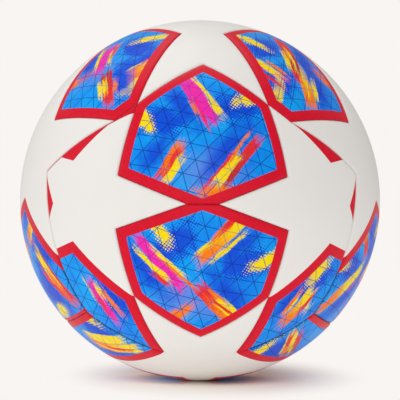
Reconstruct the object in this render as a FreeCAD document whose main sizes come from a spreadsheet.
"""Soccer ball, size 5: an inflated ball built up in layers round a bladder.

The ball's centre is the origin, +Z is up, the front faces -Y and +X is to its right. From the
outside in, the ball is twenty cover panels (each a tough skin on a foam backing), a cloth carcass, a
rubber bladder, and the valve that goes through them all. Every seam runs along a great circle
between two corners, so each panel is a shell cut out by flat planes through the ball's centre.
"""

import FreeCAD, Part
import math
import os

import Sketcher

# Driving sizes. Radii and levels are millimetres from the ball's centre or from the valve's axis.
SIZES = {
    "ball_radius": 110.0,  # 691 mm round
    "skin_inner_radius": 108.8,
    "backing_inner_radius": 105.8,
    "carcass_inner_radius": 104.9,
    "bladder_inner_radius": 104.2,
    "seam_gap": 0.4,  # between two neighbouring panels
    "valve_longitude": 34.0,  # degrees from the back axis, towards the ball's left
    "valve_latitude": 0.0,
    "valve_clearance": 0.1,  # from the housing's stem to the edge of its hole
    "housing_radius": 4.0,
    "housing_face_level": 109.5,
    "housing_end_level": 91.0,
    "housing_tail_radius": 5.0,
    "flange_radius": 13.0,
    "flange_inner_radius": 103.0,
    "core_radius": 2.5,
    "core_face_level": 109.2,
    "core_head_radius": 3.8,
    "core_end_level": 89.5,
    "needle_radius": 1.1,  # a 2.0 mm inflating needle slides in
    "needle_end_level": 95.0,
    "needle_mouth_radius": 1.8,
    "needle_mouth_level": 108.5,
    "patch_radius": 14.0,
    "patch_inner_radius": 103.1,
}

# Corners of the seams on the front right quarter: longitude from the front axis, then latitude.
CORNERS = {
    "front_touch": (4.7, -0.7),
    "upper_tip": (0.0, 45.7),
    "lower_tip": (0.0, -45.2),
    "upper_notch": (26.1, 7.5),
    "lower_notch": (26.7, -8.3),
    "shoulder_touch": (23.0, 30.2),
    "lower_touch": (23.6, -29.6),
    "shoulder_crown": (14.9, 64.0),
    "shoulder_inner": (30.1, 24.5),
    "shoulder_outer": (61.0, 25.2),
    "shoulder_far": (90.0, 66.7),
    "side_bend": (55.9, 8.8),
    "side_junction": (48.4, -36.4),
    "side_foot": (90.0, -42.2),
    "foot_inner": (18.7, -53.2),
    "top_pole": (90.0, 90.0),
    "bottom_pole": (90.0, -90.0),
}
# These lie on the middle plane, so they have no twin on the left.
MIDDLE_CORNERS = ("upper_tip", "lower_tip", "top_pole", "bottom_pole")

# Panels that cross the middle of the front: a point inside, and the corners up their right half.
MIDDLE_PANELS = {
    "upper_hexagon": ((0.0, 20.0), ("front_touch", "upper_notch", "shoulder_touch", "upper_tip")),
    "lower_hexagon": ((0.0, -22.0), ("lower_tip", "lower_touch", "lower_notch", "front_touch")),
    "top_star": (
        (0.0, 66.0),
        ("upper_tip", "shoulder_touch", "shoulder_crown", "shoulder_far", "top_pole"),
    ),
    "bottom_star": (
        (0.0, -66.0),
        ("bottom_pole", "side_foot", "side_junction", "foot_inner", "lower_touch", "lower_tip"),
    ),
}

# Panels on the right of the front, each with a twin on the left: a point inside, then the corners.
SIDE_PANELS = {
    "shoulder": (
        (38.0, 45.0),
        ("shoulder_touch", "shoulder_inner", "shoulder_outer", "shoulder_far", "shoulder_crown"),
    ),
    "star": (
        (36.0, -10.0),
        (
            "front_touch",
            "lower_notch",
            "lower_touch",
            "foot_inner",
            "side_junction",
            "side_bend",
            "shoulder_inner",
            "shoulder_touch",
            "upper_notch",
        ),
    ),
    "side": (
        (70.0, 4.0),
        (
            "shoulder_inner",
            "side_bend",
            "side_junction",
            "side_foot",
            "shoulder_far",
            "shoulder_outer",
        ),
    ),
}

FACINGS = {"front": 1, "back": -1}
SIDES = {"right": 1, "left": -1}
VALVE_PANEL = "back_left_star"

# A panel's cutter reaches from well inside the bladder to well outside the cover.
CUTTER_START = 0.5
CUTTER_END = 3.0
DRILL_START = 0.9
DRILL_LENGTH = 0.2

doc = FreeCAD.newDocument("soccer_ball")
sheet = doc.addObject("Spreadsheet::Sheet", "sizes")
subparts = []


def fill_sheet():
    """Put every driving size in the sheet, with each corner's two angles after the plain sizes."""
    values = dict(SIZES)
    for corner, (longitude, latitude) in CORNERS.items():
        values[corner + "_longitude"] = longitude
        values[corner + "_latitude"] = latitude
    for row, (alias, value) in enumerate(values.items(), start=1):
        sheet.set(f"A{row}", alias)
        sheet.set(f"B{row}", str(value))
        sheet.setAlias(f"B{row}", alias)
    doc.recompute()


def size(alias):
    return float(sheet.get(alias))


def direction(longitude, latitude, side, facing):
    """Unit vector to a point given in degrees; side is 1 on the right, facing is 1 on the front."""
    across = math.cos(math.radians(latitude))
    return FreeCAD.Vector(
        side * across * math.sin(math.radians(longitude)),
        -facing * across * math.cos(math.radians(longitude)),
        math.sin(math.radians(latitude)),
    )


def corner_direction(corner, side, facing):
    return direction(size(corner + "_longitude"), size(corner + "_latitude"), side, facing)


def name_subpart(feature, label):
    feature.Label = label
    subparts.append(feature)
    return feature


def make_shell(name, outer, inner):
    """A hollow sphere between two radii of the sheet."""
    balls = []
    for alias in (outer, inner):
        ball = doc.addObject("Part::Sphere", f"{name}_{alias}")
        ball.setExpression("Radius", f"sizes.{alias}")
        balls.append(ball)
    shell = doc.addObject("Part::Cut", name)
    shell.Base, shell.Tool = balls
    return shell


def make_cutter(name, rays, middle):
    """A many-sided wedge whose walls follow the rays, moved in by half of the seam's gap."""
    count = len(rays)
    walls = []
    for i, ray in enumerate(rays):
        wall = ray.cross(rays[(i + 1) % count]).normalize()
        walls.append(wall if wall.dot(middle) > 0 else wall.negative())
    near, far = [], []
    for i, ray in enumerate(rays):
        before, after = walls[i - 1], walls[i]
        inset = (before + after) * (size("seam_gap") / 2 / (1 + before.dot(after)))
        near.append(ray * (CUTTER_START * size("ball_radius")) + inset)
        far.append(ray * (CUTTER_END * size("ball_radius")) + inset)
    near_middle = middle * (CUTTER_START * size("ball_radius"))
    far_middle = middle * (CUTTER_END * size("ball_radius"))
    faces = []
    for i in range(count):
        j = (i + 1) % count
        for loop in (
            (near[i], near[j], far[j], far[i]),
            (near_middle, near[i], near[j]),
            (far_middle, far[i], far[j]),
        ):
            faces.append(Part.Face(Part.makePolygon(list(loop) + [loop[0]])))
    solid = Part.Solid(Part.Shell(faces))
    if solid.Volume < 0:
        solid.reverse()
    cutter = doc.addObject("Part::Feature", name + "_cutter")
    cutter.Shape = solid
    return cutter


def make_drill():
    """The hole that the valve's stem goes through, from inside the bladder to outside the cover."""
    drill = doc.addObject("Part::Cylinder", "valve_drill")
    drill.setExpression("Radius", "sizes.housing_radius + sizes.valve_clearance")
    drill.setExpression("Height", f"sizes.ball_radius * {DRILL_LENGTH}")
    start = valve_axis() * (DRILL_START * size("ball_radius"))
    drill.Placement = FreeCAD.Placement(start, valve_rotation())
    return drill


def valve_axis():
    return direction(size("valve_longitude"), size("valve_latitude"), SIDES["left"], FACINGS["back"])


def valve_rotation():
    return FreeCAD.Rotation(FreeCAD.Vector(0, 0, 1), valve_axis())


def drilled(base, drill, name):
    cut = doc.addObject("Part::Cut", name)
    cut.Base, cut.Tool = base, drill
    return cut


def make_panel(name, corners, inside, facing, layers, drill):
    """One cover panel: the same wedge out of the skin's shell and out of the backing's."""
    rays = [corner_direction(corner, side, facing) for corner, side in corners]
    cutter = make_cutter(name, rays, inside)
    for layer, shell in layers.items():
        piece = doc.addObject("Part::Common", f"{name}_{layer}_piece")
        piece.Base, piece.Tool = shell, cutter
        if name == VALVE_PANEL:
            piece = drilled(piece, drill, f"{name}_{layer}_drilled")
        name_subpart(piece, f"{name}_{layer}")


def make_cover(drill):
    layers = {
        "skin": make_shell("skin_shell", "ball_radius", "skin_inner_radius"),
        "backing": make_shell("backing_shell", "skin_inner_radius", "backing_inner_radius"),
    }
    for facing_name, facing in FACINGS.items():
        for panel, (inside, half) in MIDDLE_PANELS.items():
            right = [(corner, SIDES["right"]) for corner in half]
            twins = [corner for corner in reversed(half) if corner not in MIDDLE_CORNERS]
            left = [(corner, SIDES["left"]) for corner in twins]
            middle = direction(*inside, SIDES["right"], facing)
            make_panel(f"{facing_name}_{panel}", right + left, middle, facing, layers, drill)
        for side_name, side in SIDES.items():
            for panel, (inside, outline) in SIDE_PANELS.items():
                corners = [(corner, side) for corner in outline]
                middle = direction(*inside, side, facing)
                name = f"{facing_name}_{side_name}_{panel}"
                make_panel(name, corners, middle, facing, layers, drill)


def make_linings(drill):
    carcass = make_shell("carcass_shell", "backing_inner_radius", "carcass_inner_radius")
    name_subpart(drilled(carcass, drill, "carcass_drilled"), "cloth_carcass")
    bladder = make_shell("bladder_shell", "carcass_inner_radius", "bladder_inner_radius")
    name_subpart(drilled(bladder, drill, "bladder_drilled"), "bladder")


def on_arc(radius_alias, arc_alias):
    """Level at which a circle about the ball's centre is this far from the axis."""
    return math.sqrt(size(arc_alias) ** 2 - (size(radius_alias) if radius_alias else 0.0) ** 2)


def constrain(sketch, kind, alias, *geometry):
    """A driven dimension of the sketch, tied to the sheet."""
    index = sketch.addConstraint(Sketcher.Constraint(kind, *geometry, size(alias)))
    sketch.setExpression(f"Constraints[{index}]", f"sizes.{alias}")


def make_turned(label, corners):
    """A body turned about the valve's axis, which is +Z until the body is placed.

    Each corner of the half section is (radius, level, arc): the radius is a size or None on the axis;
    the level is a size or None where the corner lies on an arc; and the arc is the size of the circle
    about the ball's centre that leads on to the next corner, or None for a straight line.
    """
    body = doc.addObject("PartDesign::Body", label + "_body")
    plane = next(f for f in body.Origin.OriginFeatures if f.Role == "XZ_Plane")
    sketch = body.newObject("Sketcher::SketchObject", label + "_section")
    sketch.AttachmentSupport = [(plane, "")]
    sketch.MapMode = "FlatFace"
    places = []
    for i, (radius, level, arc) in enumerate(corners):
        height = size(level) if level else on_arc(radius, arc or corners[i - 1][2])
        places.append(FreeCAD.Vector(size(radius) if radius else 0.0, height, 0))
    ends = []
    for i, (radius, level, arc) in enumerate(corners):
        start, end = places[i], places[(i + 1) % len(places)]
        if arc:
            circle = Part.Circle(FreeCAD.Vector(), FreeCAD.Vector(0, 0, 1), size(arc))
            angles = [math.atan2(p.y, p.x) for p in (start, end)]
            sketch.addGeometry(Part.ArcOfCircle(circle, min(angles), max(angles)), False)
            ends.append((1, 2) if angles[0] < angles[1] else (2, 1))
        else:
            sketch.addGeometry(Part.LineSegment(start, end), False)
            ends.append((1, 2))
    for i, (radius, level, arc) in enumerate(corners):
        first = ends[i][0]
        sketch.addConstraint(Sketcher.Constraint("Coincident", i - 1 if i else len(corners) - 1,
                                                 ends[i - 1][1], i, first))
        if arc:
            sketch.addConstraint(Sketcher.Constraint("Coincident", i, 3, -1, 1))
            constrain(sketch, "Radius", arc, i)
        if radius:
            constrain(sketch, "DistanceX", radius, -1, 1, i, first)
        else:
            sketch.addConstraint(Sketcher.Constraint("PointOnObject", i, first, -2))
        if level:
            constrain(sketch, "DistanceY", level, -1, 1, i, first)
    turned = body.newObject("PartDesign::Revolution", label + "_turned")
    turned.Profile = (sketch, [""])
    turned.ReferenceAxis = (sketch, ["V_Axis"])
    turned.Angle = 360.0
    body.Tip = turned
    return name_subpart(body, label)


def make_valve():
    """The rubber housing bonded inside the bladder, and the core that the needle goes into."""
    housing = make_turned(
        "valve_housing",
        (
            ("core_radius", "housing_face_level", None),
            ("core_radius", "housing_end_level", None),
            ("housing_tail_radius", "housing_end_level", None),
            ("housing_tail_radius", None, "flange_inner_radius"),
            ("flange_radius", None, None),
            ("flange_radius", None, "bladder_inner_radius"),
            ("housing_radius", None, None),
            ("housing_radius", "housing_face_level", None),
        ),
    )
    core = make_turned(
        "valve_core",
        (
            ("needle_mouth_radius", "core_face_level", None),
            ("needle_radius", "needle_mouth_level", None),
            ("needle_radius", "needle_end_level", None),
            (None, "needle_end_level", None),
            (None, "core_end_level", None),
            ("core_head_radius", "core_end_level", None),
            ("core_head_radius", "housing_end_level", None),
            ("core_radius", "housing_end_level", None),
            ("core_radius", "core_face_level", None),
        ),
    )
    for body in (housing, core):
        body.Placement = FreeCAD.Placement(FreeCAD.Vector(), valve_rotation())


def make_balance_patch():
    """A rubber disc on the bladder's far side, as heavy as the valve."""
    patch = make_turned(
        "balance_patch",
        (
            (None, None, "bladder_inner_radius"),
            ("patch_radius", None, None),
            ("patch_radius", None, "patch_inner_radius"),
            (None, None, None),
        ),
    )
    opposite = FreeCAD.Rotation(FreeCAD.Vector(0, 0, 1), valve_axis().negative())
    patch.Placement = FreeCAD.Placement(FreeCAD.Vector(), opposite)


def check_document():
    doc.recompute()
    for feature in doc.Objects:
        if "Invalid" in feature.State or "Error" in feature.State:
            raise RuntimeError(f"{feature.Name} is {feature.State}")
    for piece in subparts:
        if piece.Shape.isNull() or not piece.Shape.isValid() or piece.Shape.Volume <= 0:
            raise RuntimeError(f"{piece.Label} has no valid solid")


def write_parts():
    os.makedirs("parts", exist_ok=True)
    for piece in subparts:
        piece.Shape.exportStep(f"parts/{piece.Label}.step")
        print(f"{piece.Label}: {piece.Shape.Volume / 1000:.2f} cm3, {len(piece.Shape.Solids)} solid")


fill_sheet()
valve_drill = make_drill()
make_cover(valve_drill)
make_linings(valve_drill)
make_valve()
make_balance_patch()
check_document()
write_parts()
